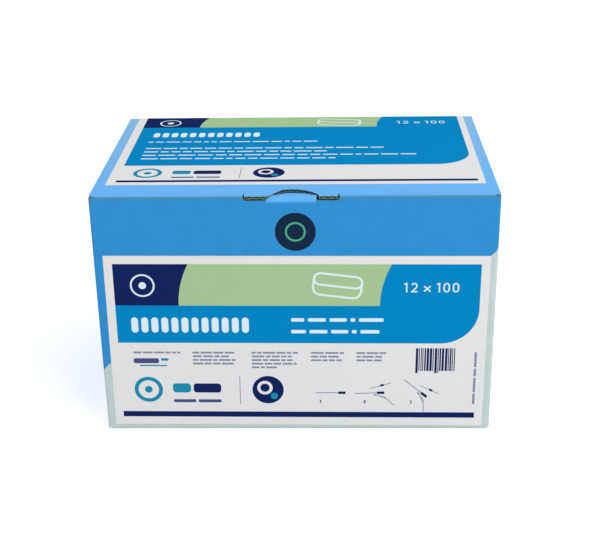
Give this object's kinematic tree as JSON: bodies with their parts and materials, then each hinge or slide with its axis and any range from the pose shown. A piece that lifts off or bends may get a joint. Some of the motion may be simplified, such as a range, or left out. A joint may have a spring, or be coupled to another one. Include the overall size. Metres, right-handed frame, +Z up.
{
  "type": "box of veterinary boluses",
  "caption": "Tuck-top carton of fluted board with a hinged lid and a lock tongue, two paper labels, and boluses standing in a cell divider.",
  "frame": {"origin": "middle of the base, on the surface that the carton stands on", "axes": "+Z up, the front wall with its large label faces -Y, +X to the right as seen from the front"},
  "size_m": [0.2, 0.1364, 0.1302],
  "materials": {
    "printed_board": "blue print on white-lined E-flute corrugated board, matte varnish",
    "lid_board": "pale blue print on white-lined E-flute corrugated board, matte varnish",
    "label_paper": "coated white label paper with blue, green and navy fields",
    "divider_board": "plain brown kraft board",
    "bolus": "matt pressed mineral with a thin pale coat"
  },
  "bodies": {
    "carton": {"carton": "printed_board", "front_label": "label_paper", "top_label_tail": "label_paper", "long_divider_1": "divider_board", "long_divider_2": "divider_board", "cross_divider_1": "divider_board", "cross_divider_2": "divider_board", "cross_divider_3": "divider_board", "bolus_01": "bolus", "bolus_02": "bolus", "bolus_03": "bolus", "bolus_04": "bolus", "bolus_05": "bolus", "bolus_06": "bolus", "bolus_07": "bolus", "bolus_08": "bolus", "bolus_09": "bolus", "bolus_10": "bolus", "bolus_11": "bolus", "bolus_12": "bolus"},
    "lid": {"lid": "lid_board", "top_label": "label_paper"},
    "lock_tongue": {"lock_tongue": "lid_board"}
  },
  "joints": [
    {"name": "lid_hinge", "type": "hinge", "parent": "carton", "child": "lid", "pos_m": [0, 0.06725, 0.12925], "axis": [-1, 0, 0], "range_deg": [0, 180]},
    {"name": "tongue_hinge", "type": "hinge", "parent": "carton", "child": "lock_tongue", "pos_m": [-0.0013, -0.06725, 0.1258], "axis": [1, 0, 0], "range_deg": [0, 75]}
  ]
}
